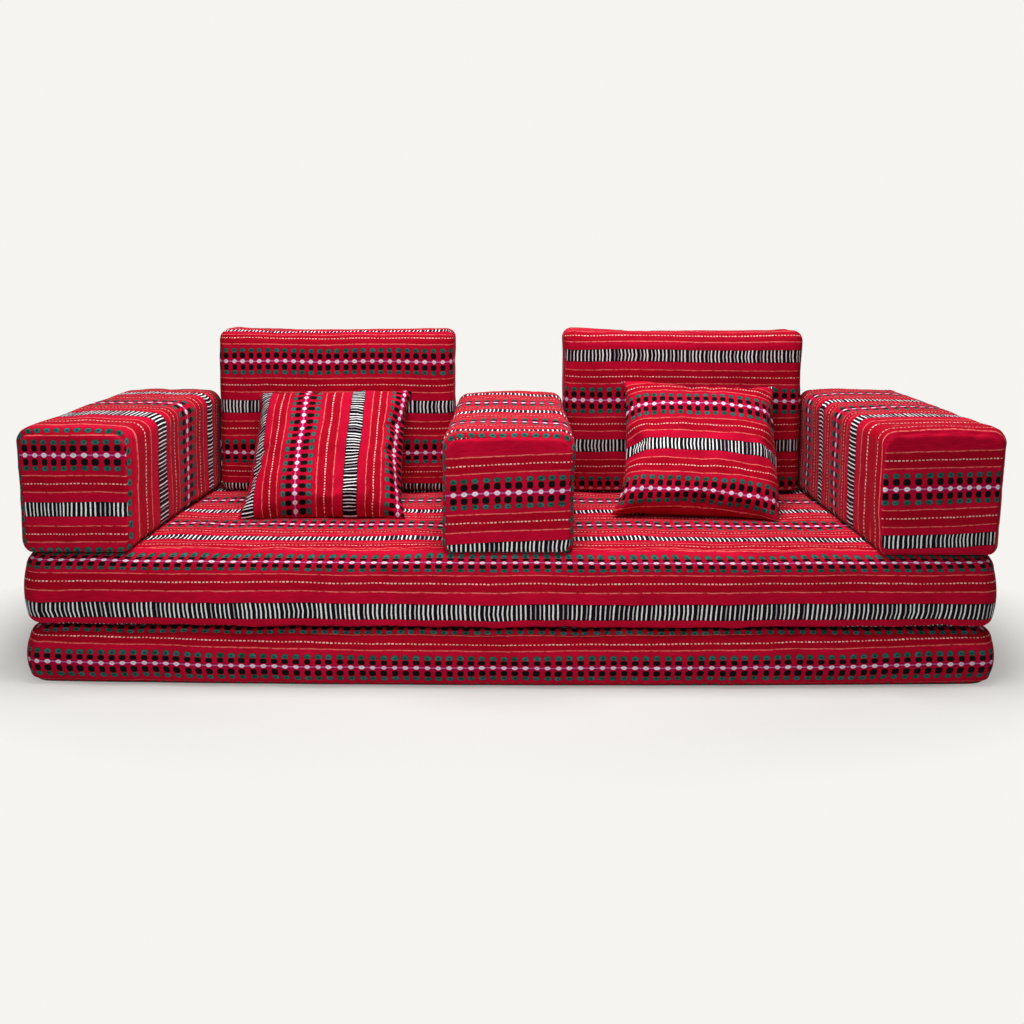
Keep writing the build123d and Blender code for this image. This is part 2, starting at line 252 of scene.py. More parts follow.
# Ground: crimson, patchier and deeper here and there, with maroon between the thin lines
patch = ramp(noise(entry, 9.0, 3.0), 1.6, -0.3, clamp=True)
streak = noise(joined(times(u, 0.035), times(v, 0.65)), 1.0, 3.0)
colour = mixed(patch, crimson, crimson_deep)
colour = mixed(times(stripe(d, stitch_row, 17.0, 2.0), 0.75), colour, maroon)
colour = mixed(times(stripe(d, 0.0, 7.0, 5.0), 0.65), colour, magenta)

# Dots: each column is shifted a little, and each dot is a little larger or smaller
column, along = cells(u, dot_pitch)
luck = chance(column, half_band)
luck_white = chance(column, dot_band)
shifted = plus(along, swing(luck, 2.2))
shifted_white = plus(along, swing(luck_white, 1.2))
from_green = minus(d, green_row)
green_half = ramp(luck, -1.2, 7.4)
green = woven_dot(shifted, from_green, green_half, 4.7, 2.2, 0.35)
green_ring = woven_dot(shifted, from_green, plus(green_half, 1.3), 6.0, 2.2, 0.35)
green_heart = woven_dot(shifted, from_green, 3.0, 1.6, 2.0, 0.9)
black = woven_dot(shifted, minus(d, black_row), ramp(luck, 1.2, 6.4), 6.8, 3.0, 0.35)
white = woven_dot(shifted_white, d, ramp(luck_white, 1.2, 5.2), 4.8, 1.7, 0.3)
white_heart = woven_dot(shifted_white, d, 2.6, 2.2, 2.0, 0.8)
link_line = stripe(d, 0.0, 1.2, 1.0)
green_tone = mixed(ramp(quick, 2.4, -0.7, clamp=True), thread_green, thread_teal)
white_tone = mixed(times(white_heart, 0.45), mixed(luck_white, lilac_pale, lilac_white), lilac)
for mask, tone in ((times(green_ring, 0.85), olive), (green, green_tone),
                   (times(green_heart, 0.7), thread_black), (black, thread_black),
                   (times(link_line, 0.9), link_pink), (white, white_tone)):
    colour = mixed(mask, colour, tone)

# Lines: two thin salmon threads with a running stitch between them on each side of the dots
broken = ramp(noise(entry, 120.0), 3.0, -0.6, clamp=True)
thin = calc("MAXIMUM", *[stripe(d, row, 0.95, 0.8) for row in thin_rows])
stitch, stitch_along = cells(u, stitch_pitch)
stitch_luck = chance(stitch, half_band)
stitch_along = plus(stitch_along, swing(stitch_luck, 1.2))
stitched = woven_dot(stitch_along, minus(d, stitch_row), ramp(stitch_luck, 0.8, 2.0), 1.35, 3.0, 0.4)
colour = mixed(times(thin, broken), colour, salmon)
colour = mixed(stitched, colour, mixed(stitch_luck, stitch_orange, stitch_cream))

# Bars: white bars, a dimmer one here and there, leaning a little, on a black band
from_bars = minus(d, half_repeat)
lean = times(from_bars, swing(slow, 0.7))
bar, bar_along = cells(plus(u, lean), bar_pitch)
bar_luck = chance(bar, plus(bar_band, 0.37))
bar_along = plus(bar_along, swing(bar_luck, 2.2))
bars = woven_dot(bar_along, from_bars, ramp(bar_luck, 0.6, 1.15), ramp(bar_luck, 1.2, 14.0), 6.0, 0.6)
ladder = ramp(minus(d, bars_from), 1.2, 0.5, clamp=True)
bars = times(bars, ladder)
colour = mixed(ladder, colour, band_black)
colour = mixed(bars, colour, mixed(ramp(bar_luck, 4.0, 0.2, clamp=True), bar_mauve, bar_white))

# Thread: ribs along the stripes, crossed by picks, and slubs that streak the colour
rib = ramp(calc("SINE", times(v, 3.3)), 0.5, 0.5)
pick = ramp(calc("SINE", times(u, 2.3)), 0.5, 0.5)
thread = times(rib, ramp(pick, 0.6, 0.4))
tone = times(ramp(streak, 0.75, 0.62), ramp(thread, 0.22, 0.88))
raised = green
for mask in (black, white, stitched, bars):
    raised = calc("MAXIMUM", raised, mask)
height = plus(ramp(thread, 0.22, times(raised, 0.30)), times(streak, 0.35))
colour = node(weave, "VectorMath", {0: colour, "Scale": tone}, operation="SCALE")
weave_out = weave.nodes.new("NodeGroupOutput")
for name, value in (("Colour", colour), ("Roughness", ramp(quick, 0.25, 0.68)), ("Height", height)):
    weave.links.new(value, weave_out.inputs[name])


def new_material(name, plain):
    """A material with plain values on its shader's own sockets, and its node tree."""
    material = bpy.data.materials.new(name)
    material.use_nodes = True
    for socket, value in plain.items():
        material.node_tree.nodes["Principled BSDF"].inputs[socket].default_value = value
    return material, material.node_tree


def finish(tree, colour, roughness, height, deep):
    """Gives a material's shader its colour and roughness, and bumps it by height times deep."""
    bumped = node(tree, "Bump", {"Height": height, "Distance": deep}, "Normal")
    shader = tree.nodes["Principled BSDF"]
    for socket, value in (("Base Color", colour), ("Roughness", roughness), ("Normal", bumped)):
        tree.links.new(value, shader.inputs[socket])


woven_cloth, tree = new_material("woven_cloth", {
    "Sheen Weight": 0.05, "Sheen Roughness": 0.28, "Sheen Tint": (1.0, 0.60, 0.76, 1),
    "Specular IOR Level": 0.04,
})
cloth_place = node(tree, "UVMap", output="UV", uv_map="cloth")
colour, roughness, height = node(tree, "Group", {}, node_tree=weave).node.outputs
tree.links.new(cloth_place, colour.node.inputs["Cloth"])
finish(tree, colour, roughness, height, 0.001)


# Lower mattress: a foam slab in a zipped cover of a top panel, a boxing round the sides and a
# bottom panel. The panels roll over the slab's edges to their seams.
def spread(length, step, lines=()):
    """Distances from 0 to length about one step apart, and closer together beside each line."""
    places = np.linspace(0, length, max(2, round(length / step)) + 1)
    beside = np.array([-13, -9.5, -6.7, -5.9, -3, 0, 3, 5.9, 6.7, 9.5, 13]) * 0.001
    for line in lines:
        far = (np.abs(places - line) > 0.016) | (places == 0) | (places == places[-1])
        near = line + beside
        places = np.union1d(places[far], near[(near > 0.002) & (near < length - 0.002)])
    return places


def outline_shares(across, up, turn):
    """Points round an outline: base, right side, top and left side, each from one corner's middle
    to the next. Rows: share across and share up (-1 to 1) of the straight sides, and the outward
    direction, which turns through a right angle at each corner."""
    sides = []
    for quarter, places in enumerate((across, up, across[::-1], up[::-1])):
        start = radians(225 + 90 * quarter)
        lead = np.linspace(start, start + np.pi / 4, turn, endpoint=False)
        trail = np.linspace(start + np.pi / 4, start + np.pi / 2, turn + 1)[1:]
        angle = np.concatenate([lead, np.full(len(places), start + np.pi / 4), trail])
        run = np.concatenate([np.full(turn, places[0]), places, np.full(turn, places[-1])])
        fixed = np.full(len(run), (-1.0, 1.0, 1.0, -1.0)[quarter])
        across_share, up_share = (run, fixed) if quarter % 2 == 0 else (fixed, run)
        sides.append(np.array([across_share, up_share, np.cos(angle), np.sin(angle)])[:, :-1])
    return np.concatenate(sides, axis=1)


def outline_points(shares, wide, high, radii, bows, inset, tight):
    """The corner centre plus the corner radius along the outward direction, plus a bow that
    fades towards the corners as 1 - share squared. tight holds the parts of the inset that the
    sides, the base and the top take."""
    share_x, share_y, out_x, out_y = shares
    low, top = radii
    base_bow, side_bow, top_bow = bows
    side_tight, base_tight, top_tight = tight
    radius = low + (share_y + 1) / 2 * (top - low)
    half_wide = wide / 2 - inset * side_tight
    x = share_x * (half_wide - radius) + radius * out_x + side_bow * (1 - share_y**2) * out_x
    lowest = low - high / 2 + inset * base_tight
    highest = high / 2 - inset * top_tight - top
    lift = lowest + (share_y + 1) / 2 * (highest - lowest)
    bow = np.where(out_y > 0, top_bow, base_bow) * (1 - share_x**2)
    return x, lift + (radius + bow) * out_y


def panel_inside(ring, base_count, side_count):
    """Grid inside a closed ring of four sides (a Coons patch): the base and top blended upwards,
    plus the sides blended across, less the blend of the four corners."""
    closed = np.vstack([ring, ring[:1]])
    base = closed[:base_count]
    right = closed[base_count - 1:base_count + side_count - 1]
    top = closed[base_count + side_count - 2:2 * base_count + side_count - 2][::-1]
    left = closed[2 * base_count + side_count - 3:][::-1]
    s = ((base[:, 0] - base[0, 0]) / (base[-1, 0] - base[0, 0]))[:, None, None]
    r = ((right[:, 1] - right[0, 1]) / (right[-1, 1] - right[0, 1]))[None, :, None]
    grid = (1 - r) * base[:, None] + r * top[:, None] + (1 - s) * left[None] + s * right[None]
    corners = (1 - s) * (1 - r) * base[0] + s * (1 - r) * base[-1] + s * r * top[-1] + (1 - s) * r * top[0]
    return grid - corners


def quad_corners(grid, turned_over):
    """What a grid holds at the four corners of each of its quads, in order round the quad."""
    corners = [grid[:-1, :-1], grid[1:, :-1], grid[1:, 1:], grid[:-1, 1:]]
    return np.stack(corners[::-1] if turned_over else corners, axis=2).reshape((-1, 4) + grid.shape[2:])


def sewn_block(wide, high, thick, radii, bows, rolls, swell, seams, steps, up_lines=(), along_lines=(),
               tight=(1, 1, 1), turn=6):
    """Closed skin of a block cushion along local +Z: two panels and the band between them.

    The profile is a quarter ellipse from each panel's flat to the side, with a side that swells
    as a parabola. Returns the points, the quads, each quad corner's place on its own piece of
    cloth, which piece that is (0 start panel, 1 band, 2 end panel), and each point's distance
    to the nearest seam."""
    (start_reach, start_deep), (end_reach, end_deep) = rolls
    step, band_step = steps
    low, top = radii
    across = spread(wide - 2 * low, step)
    up = spread(high - low - top, step, up_lines)
    shares = outline_shares(across / across[-1] * 2 - 1, up / up[-1] * 2 - 1, turn)
    base_count, side_count = len(across) + 2 * turn, len(up) + 2 * turn
    quarter = np.linspace(0, np.pi / 2, 60)
    side = np.linspace(0, 1, 80)[1:-1]
    depth = np.concatenate([
        start_deep * (1 - np.cos(quarter)),
        start_deep + side * (thick - start_deep - end_deep),
        thick - end_deep * (1 - np.cos(quarter[::-1])),
    ])
    inset = np.concatenate([
        start_reach * (1 - np.sin(quarter)),
        -4 * swell * side * (1 - side),
        end_reach * (1 - np.sin(quarter[::-1])),
    ])
    run = np.concatenate([[0], np.cumsum(np.hypot(np.diff(depth), np.diff(inset)))])
    start_seam, end_seam = seams[0], run[-1] - seams[1]
    lines = [start_seam, end_seam] + [np.interp(line, depth, run) for line in along_lines]
    places = spread(run[-1], band_step, lines)
    ring_depth = np.interp(places, run, depth)
    ring_inset = np.interp(places, run, inset)
    ring_x, ring_y = outline_points(shares[:, None, :], wide, high, radii, bows, ring_inset[:, None], tight)
    rings = np.stack([ring_x, ring_y, np.broadcast_to(ring_depth[:, None], ring_x.shape)], axis=2)
    count, round_count = ring_x.shape
    ids = np.arange(count * round_count).reshape(count, round_count)
    nxt = np.roll(ids, -1, axis=1)
    wall = np.stack([ids[:-1], nxt[:-1], nxt[1:], ids[1:]], axis=2).reshape(-1, 4)

    # The cloth's lie: panels unroll outwards past their edges, and the band unrolls round them
    wide_x = np.concatenate([ring_x, ring_x[:, :1]], axis=1)
    wide_y = np.concatenate([ring_y, ring_y[:, :1]], axis=1)
    out_x, out_y = np.append(shares[2], shares[2, 0]), np.append(shares[3], shares[3, 0])
    outer = np.argmin(np.abs(places - run[-1] / 2))
    arc = np.concatenate([[0], np.cumsum(np.hypot(np.diff(wide_x[outer]), np.diff(wide_y[outer])))])
    arc -= arc[base_count // 2]
    along = np.broadcast_to((places - places[outer] + ring_depth[outer])[:, None], wide_x.shape)
    lie_band = np.stack([np.broadcast_to(arc, wide_x.shape), along], axis=2)
    lie_start, lie_end = (
        np.stack([wide_x + out_x * past, wide_y + out_y * past], axis=2)
        for past in ((places - (start_reach - ring_inset))[:, None],
                     (run[-1] - places - (end_reach - ring_inset))[:, None])
    )
    piece = np.digitize((places[1:] + places[:-1]) / 2, [start_seam, end_seam])
    by_piece = np.stack([lie_start, lie_band, lie_end])
    lie, lie_next = by_piece[piece, np.arange(count - 1)], by_piece[piece, np.arange(1, count)]
    wall_lie = np.stack([lie[:, :-1], lie[:, 1:], lie_next[:, 1:], lie_next[:, :-1]], axis=2)

    points, quads, lies = [rings.reshape(-1, 3)], [wall], [wall_lie.reshape(-1, 4, 2)]
    pieces = [piece.repeat(round_count)]
    seam_gap = [np.minimum(np.abs(places - start_seam), np.abs(places - end_seam)).repeat(round_count)]
    used = count * round_count
    for which, ring in enumerate((0, count - 1)):
        grid = panel_inside(rings[ring, :, :2], base_count, side_count)
        inner = grid[1:-1, 1:-1]
        numbers = np.zeros(grid.shape[:2], int)
        closed = np.append(ids[ring], ids[ring, 0])
        numbers[:, 0] = closed[:base_count]
        numbers[-1, :] = closed[base_count - 1:base_count + side_count - 1]
        numbers[::-1, -1] = closed[base_count + side_count - 2:2 * base_count + side_count - 2]
        numbers[0, ::-1] = closed[2 * base_count + side_count - 3:]
        numbers[1:-1, 1:-1] = used + np.arange(inner.shape[0] * inner.shape[1]).reshape(inner.shape[:2])
        used += inner.shape[0] * inner.shape[1]
        level = np.full(inner.shape[:2] + (1,), ring_depth[ring])
        points.append(np.concatenate([inner, level], axis=2).reshape(-1, 3))
        edge = np.minimum(np.abs(grid[[0, -1]][:, :, 0]).mean() - np.abs(inner[..., 0]),
                          np.abs(grid[:, [0, -1], 1]).mean() - np.abs(inner[..., 1]))
        seam_gap.append(seams[which] + np.maximum(edge, 0).ravel())
        quads.append(quad_corners(numbers, which == 0))
        lies.append(quad_corners(grid, which == 0))
        pieces.append(np.full(len(quads[-1]), 2 * which))
    return tuple(np.concatenate(part) for part in (points, quads, lies, pieces, seam_gap))


def outward(points, quads):
    """Unit outward direction at each point: the crossed diagonals of its quads, added up."""
    a, b, c, e = (points[quads[:, k]] for k in range(4))
    crossed = np.cross(c - a, e - b)
    total = np.zeros_like(points)
    for k in range(4):
        np.add.at(total, quads[:, k], crossed)
    return total / np.maximum(np.linalg.norm(total, axis=1, keepdims=True), 1e-12)


def unevenness(points, seed, longest, shortest, height):
    """Sum of sine waves in seeded directions, with lengths from longest to shortest and heights
    in proportion to the square root of their lengths."""
    waves = 14
    random = np.random.default_rng(seed)
    lengths = np.geomspace(longest, shortest, waves)
    ways = random.normal(size=(waves, 3))
    ways /= np.linalg.norm(ways, axis=1, keepdims=True)
    heights = np.sqrt(lengths)
    heights *= height / np.sqrt((heights**2).sum() / 2) / 1.4
    phases = random.uniform(0, 2 * np.pi, waves)
    return np.sin(points @ (ways * (2 * np.pi / lengths)[:, None]).T + phases) @ heights


def sewn_relief(points, quads, seam_gap, seed, base, tape):
    """Draws the cloth in along its seams, as a bell curve of the distance to the seam, gathers it
    beside them, and gives the rest a loose unevenness. The last two fade out over 3 cm beside
    the zip's tape and 2 cm above the base. The cloth under the tape is sunk."""
    groove, pucker, loose_high = 0.0026, 0.0011, 0.0016
    sunk, half_sunk_wide = 0.0014, 0.0063
    axis, start, end, level, face = tape
    along, up, out = points[:, axis], points[:, 2] - level, points[:, 1 - axis] - face
    off = np.sqrt(np.maximum(np.maximum(start - along, along - end), 0) ** 2 + up**2 + out**2)
    free = np.clip((off - 0.012) / 0.03, 0, 1) * np.clip((points[:, 2] - base) / 0.02, 0, 1)
    drawn = -groove * np.exp(-(seam_gap / 0.0042) ** 2)
    gather = pucker * np.exp(-seam_gap / 0.016) * unevenness(points, seed, 0.055, 0.016, 1.0)
    loose = unevenness(points, seed + 1, 0.30, 0.07, loose_high)
    points = points + outward(points, quads) * (drawn + (gather + loose) * free)[:, None]
    along, up, out = points[:, axis], points[:, 2] - level, points[:, 1 - axis] - face
    held = (along > start - 0.001) & (along < end + 0.001)
    held &= (np.abs(up) < half_sunk_wide) & (np.abs(out) < 0.012)
    points[held, 1 - axis] = face - np.sign(face) * sunk
    return points


def woven_rows(places, *marks):
    """Distance across the cloth at each place. A mark is a place and its row: even rows are the
    middles of dots, odd rows the middles of bars. Straight lines run between the marks."""
    spots, rows = np.array(marks, float).T
    inner = np.interp(places, spots, rows * half_repeat / 1000)
    return inner + np.minimum(places - spots[0], 0) + np.maximum(places - spots[-1], 0)


def cloth_places(lie, piece, shift, band_v, panel_v):
    """Places on the woven cloth: band_v across it on the band, and on the panels panel_v, which
    are cut a shift further along."""
    on_band = (piece == 1)[:, None]
    return np.stack([lie[..., 0] + np.where(on_band, 0, shift), np.where(on_band, band_v, panel_v)], axis=2)


def add_piece(name, points, faces, material, lie=None):
    """A smooth mesh piece from points and faces; lie is each quad corner's place on the cloth."""
    mesh = bpy.data.meshes.new(name)
    mesh.from_pydata(points.tolist(), [], faces if isinstance(faces, list) else faces.tolist())
    mesh.polygons.foreach_set("use_smooth", np.ones(len(mesh.polygons), bool))
    if lie is not None:
        mesh.uv_layers.new(name="cloth").data.foreach_set("uv", lie.reshape(-1).astype(np.float32))
    mesh.materials.append(material)
    mesh.update()
    piece = bpy.data.objects.new(name, mesh)
    bpy.context.scene.collection.objects.link(piece)
    return piece


def stands_for(piece, body, slot, *parts):
    """Makes a piece ride on its cushion's body in place of that body's CAD nodes."""
    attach(piece, body)
    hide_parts(*[body + part for part in parts])


seat_wide, seat_deep, seat_corner = 1.996, 0.700, 0.046
seat_bows, seat_swell = (0.014, 0.004, 0.0), 0.005
seat_zip_half, seat_zip_face = 0.9, 0.355
lower_thick = 0.120
lower_zip = (0.026 + lower_thick - 0.034) / 2
panel_shift = 0.3
tapes = {}


def mattress_cover(name, base, thick, zip_up, rolls, seams, seed):
    """A mattress's sewn skin at its base's height, with its zip's tape in the rear boxing."""
    points, quads, lie, piece, gap = sewn_block(
        seat_wide, seat_deep, thick, (seat_corner, seat_corner), seat_bows, rolls, seat_swell, seams,
        (0.0125, 0.008), along_lines=(zip_up,),
    )
    points[:, 2] += base
    tapes[name] = (0, -seat_zip_half, seat_zip_half, base + zip_up, seat_zip_face)
    return sewn_relief(points, quads, gap, seed, 0, tapes[name]), quads, lie, piece


points, quads, lie, piece = mattress_cover(
    "lower_mattress", 0, lower_thick, lower_zip, ((0.018, 0.016), (0.040, 0.026)), (0.016, 0.034), 11)
points[:, 2] = np.clip(points[:, 2], 0.0003, lower_thick)
sag = np.clip(1 - (lie[..., 0] / 0.952) ** 2, 0, 1)
band_v = woven_rows(lie[..., 1] + sag * np.clip(0.001 + 0.13 * lie[..., 1], 0, 0.013),
                    (0.0505, 0), (0.0715, 0.243), (0.0910, 0.3755), (0.1035, 0.525), (0.1189, 0.640))
panel_v = woven_rows(lie[..., 1] + 0.014 * sag, (-0.340, -0.243), (-0.331, -0.123), (-0.320, 0))
lie = cloth_places(lie, piece, panel_shift, band_v, panel_v)
cover = add_piece("lower_mattress_cover", points, quads, woven_cloth, lie)
stands_for(cover, "lower_mattress", "woven_cloth", "_top_panel", "_boxing", "_bottom_panel")

foam_cream, foam_yellow, foam_pit = (0.80, 0.74, 0.56, 1), (0.74, 0.66, 0.45, 1), (0.55, 0.46, 0.28, 1)
cut_foam, tree = new_material("cut_foam", {"Specular IOR Level": 0.2})
foam_place = node(tree, "TexCoord", output="Object")
foam_cells = node(tree, "TexVoronoi", {"Vector": foam_place, "Scale": 650}, "Distance")
foam_blotch = node(tree, "TexNoise", {"Vector": foam_place, "Scale": 6}, "Fac")
foam_tone = mixed(foam_blotch, foam_yellow, foam_cream)
foam_tone = mixed(times(foam_cells, 0.35), foam_tone, foam_pit)
finish(tree, foam_tone, ramp(foam_blotch, 0.1, 0.85), foam_cells, 0.0008)
foam_room = 0.008


def add_foam(name, points, quads):
    """The foam block of a cushion, riding on its body in place of its CAD node, which is hidden."""
    foam = add_piece(name + "_block", points, quads, cut_foam)
    stands_for(foam, name, "foam", "_foam")


def add_mattress_foam(name, base, thick):
    """A mattress's foam block, the cover's form drawn in by the foam's room."""
    points, quads, *_ = sewn_block(
        seat_wide - 2 * foam_room, seat_deep - 2 * foam_room, thick - 2 * foam_room, (0.038, 0.038),
        seat_bows, ((0.024, 0.020), (0.046, 0.028)), 0.004, (0.010, 0.010), (0.05, 0.02), turn=3,
    )
    points[:, 2] += base + foam_room
    add_foam(name, points, quads)


add_mattress_foam("lower_mattress", 0, lower_thick)


# Upper mattress: made like the lower one, thicker, with a fuller roll at its front edge. It
# carries the arms, the back cushions and the pillows.
upper_base, upper_thick = 0.1203, 0.157
upper_zip = (0.026 + upper_thick - 0.048) / 2
upper_rolls = ((0.026, 0.016), (0.042, 0.036))
points, quads, lie, piece = mattress_cover(
    "upper_mattress", upper_base, upper_thick, upper_zip, upper_rolls, (0.016, 0.002), 21)
band_v = woven_rows(lie[..., 1] + upper_base, (0.157, 1), (0.2005, 1.321), (0.2357, 1.624), (0.2445, 1.757),
                    (0.2607, 2), (0.2708, 2.243), (0.300, 2.40))
top_v = woven_rows(lie[..., 1], (-0.310, 0.40), (-0.2435, 1), (-0.129, 2), (0.002, 3), (0.110, 4), (0.225, 5))
base_v = woven_rows(lie[..., 1], (-0.36, 0.70))
lie = cloth_places(lie, piece, panel_shift, band_v, np.where((piece == 2)[:, None], top_v, base_v))
cover = add_piece("upper_mattress_cover", points, quads, woven_cloth, lie)
stands_for(cover, "upper_mattress", "woven_cloth", "_top_panel", "_boxing", "_bottom_panel")
add_mattress_foam("upper_mattress", upper_base, upper_thick)


# Arm bolsters: long foam blocks laid front to back on the mattress. A sleeve goes round each
# block and over its end edges, and an end panel is sewn in at the front and at the rear.
def laid_back(points, middle, rear, level):
    """A block made along +Z, laid down so that it runs from the rear to the front."""
    return np.stack([middle + points[:, 0], rear - points[:, 2], level + points[:, 1]], axis=1)


stand = 0.2776
arm_rear, arm_length, arm_bow = 0.270, 0.620, 0.003
arm_rolls = ((0.020, 0.020), (0.020, 0.020))
arm_sag, arm_lean_long = 0.009, 0.065
arm_zip_front, arm_zip_rear, arm_zip_up = -0.280, 0.160, 0.046

# Each arm: its middle, width and height, the zip's side, the heights of the front panel's dots
# and bars, the slope of its rows, the rise of its top at the rear, the lean of its outer front
# corner at the top and what the base adds, its inner rear side's swell, and the sleeve's rows
arms = {
    "left_arm": (-0.889, 0.242, 0.253, -1, 0.474, 0.3635, 0.0, 0.006, 0.013, 0.014, 0.013, (
        (-0.349, 0.20), (-0.335, 0.31), (-0.302, 0.3755), (-0.256, 0.525), (-0.226, 0.68), (-0.151, 1),
        (0.008, 2), (0.174, 3), (0.268, 4))),
    "centre_arm": (-0.003, 0.270, 0.246, 1, 0.400, 0.2895, 0.045, 0.008, 0.0, 0.006, 0.0, (
        (-0.349, 0.20), (-0.336, 0.31), (-0.318, 1), (-0.219, 2), (-0.071, 3), (0.063, 4), (0.200, 5))),
    "right_arm": (0.878, 0.264, 0.256, 1, 0.412, 0.3105, 0.03, 0.008, 0.013, 0.012, 0.0, (
        (-0.349, 0.73), (-0.300, 0.37), (-0.220, 0.70), (-0.165, 1), (-0.057, 2), (0.055, 3), (0.164, 4),
        (0.260, 5))),
}
for order, (name, arm) in enumerate(arms.items()):
    middle, wide, high, zip_side, dots, bars_low, slope, rise, lean_top, lean_base, side_swell, rows = arm
    level = stand + (high - arm_bow) / 2
    points, quads, lie, piece, gap = sewn_block(
        wide, high - arm_bow, arm_length, (0.020, 0.030), (0, 0, arm_bow), arm_rolls, 0, (0.012, 0.012),
        (0.0085, 0.0095), up_lines=(arm_zip_up - 0.020,), tight=(0.5, 0.6, 1),
    )
    points = laid_back(points, middle, arm_rear, level)
    tapes[name] = (1, arm_zip_front, arm_zip_rear, stand + arm_zip_up, middle + zip_side * wide / 2)
    points = sewn_relief(points, quads, gap, 31 + 10 * order, stand, tapes[name])
    points[:, 2] = np.maximum(points[:, 2], stand)
    share_up = np.clip((points[:, 2] - stand) / high, 0, 1)
    share_out = zip_side * (points[:, 0] - middle) / (wide / 2)
    ahead = np.clip((arm_zip_front - 0.005 - points[:, 1]) / arm_lean_long, 0, 1) ** 2
    behind = np.clip((points[:, 1] - arm_rear + arm_length) / arm_length, 0, 1)
    drawn_in = (lean_top + lean_base * (1 - share_up)) * np.clip(share_out, 0, 1)
    points[:, 0] -= zip_side * drawn_in * ahead
    points[:, 2] += rise * share_up**2 * behind
    points[:, 0] += side_swell * behind**2 * np.clip((points[:, 0] - middle) / (wide / 2), 0, 1)
    points[:, 2] -= arm_sag * ahead * np.clip(1 - share_up / 0.4, 0, 1) ** 2
    sleeve_v = woven_rows(arm_rear - lie[..., 1], *rows)
    panel_z = level + lie[..., 1] - slope * lie[..., 0]
    panel_v = woven_rows(panel_z, (bars_low - 0.0615, -1.6245), (bars_low, -1), (dots - 0.075, -0.679),
                         (dots, 0), (dots + 0.078, 0.70), (dots + 0.150, 1))
    lie = cloth_places(lie, piece, 0.1 * order, sleeve_v, panel_v)
    cover = add_piece(name + "_cover", points, quads, woven_cloth, lie)
    stands_for(cover, name, "woven_cloth", "_sleeve", "_front_panel", "_rear_panel")
    points, quads, *_ = sewn_block(
        wide - 4 * foam_room, high - arm_bow - 2 * foam_room, arm_length - 3 * foam_room, (0.016, 0.024),
        (0, 0, arm_bow), arm_rolls, 0, (0.010, 0.010), (0.03, 0.03), turn=3,
    )
    add_foam(name, laid_back(points, middle, arm_rear - foam_room, level), quads)


# Back cushions: upright foam blocks with softly drawn-in sides, standing on the mattress. Front
# and back panels roll over the edges to a narrow boxing.
back_wide, back_high, back_thick = 0.607, 0.415, 0.152
back_rear, back_crown = 0.350, 0.010
back_zip_half, back_zip_up = 0.21, 0.092

# Each back cushion: its middle, how far its left side is drawn in, and its panels' rows
backs = {
    "left_back": (-0.4505, 0.008, (
        (0.2896, 1), (0.380, 2), (0.500, 3), (0.6136, 4), (0.6736, 4.525), (0.702, 5))),
    "right_back": (0.4385, 0.0, ((0.2887, 0), (0.4014, 1), (0.5171, 2), (0.6306, 3))),
}
for order, (name, (middle, left_in, rows)) in enumerate(backs.items()):
    level = stand + back_high / 2
    points, quads, lie, piece, gap = sewn_block(
        back_wide, back_high, back_thick, (0.020, 0.024), (0, -0.001, -0.006),
        ((0.078, 0.040), (0.045, 0.030)), 0.002, (0.080, 0.075), (0.0095, 0.008),
        up_lines=(back_zip_up - 0.020,), tight=(0.6, 0.4, 0.8),
    )
    share_x = np.clip(np.abs(points[:, 0]) / (back_wide / 2), 0, 1)
    share_y = np.clip(np.abs(points[:, 1]) / (back_high / 2), 0, 1)
    crown = (1 - share_x**3) * (1 - share_y**3) * back_crown
    forward = np.clip((points[:, 2] - back_thick / 2) / (back_thick / 2), 0, 1)
    points[:, 2] += crown * forward
    points[:, 0] += left_in * np.clip(-points[:, 0] / (back_wide / 2), 0, 1) ** 2
    points = laid_back(points, middle, back_rear, level)
    tapes[name] = (0, middle - back_zip_half, middle + back_zip_half, stand + back_zip_up, back_rear)
    points = sewn_relief(points, quads, gap, 61 + 10 * order, stand, tapes[name])
    points[:, 2] = np.maximum(points[:, 2], stand)
    lie = cloth_places(lie, piece, 0.2 * order, lie[..., 1] - 0.018, woven_rows(level + lie[..., 1], *rows))
    cover = add_piece(name + "_cover", points, quads, woven_cloth, lie)
    stands_for(cover, name, "woven_cloth", "_front_panel", "_boxing", "_back_panel")
    points, quads, *_ = sewn_block(
        back_wide - 4 * foam_room, back_high - 2 * foam_room, back_thick - 2 * foam_room, (0.018, 0.024),
        (0, -0.006, -0.006), ((0.072, 0.036), (0.072, 0.036)), 0.002, (0.020, 0.020), (0.03, 0.02), turn=3,
    )
    add_foam(name, laid_back(points, middle, back_rear - foam_room, level), quads)


# Scatter pillows: two square panels sewn edge to edge and stuffed, leaning on the back
# cushions. The lower edge is squashed flat where it bears on the mattress.
def turned(points, axis, degrees):
    """Points turned about one of the frame's axes through the origin."""
    a, b = [(1, 2), (2, 0), (0, 1)][axis]
    cosine, sine = np.cos(radians(degrees)), np.sin(radians(degrees))
    result = points.copy()
    result[:, a] = cosine * points[:, a] - sine * points[:, b]
    result[:, b] = sine * points[:, a] + cosine * points[:, b]
    return result


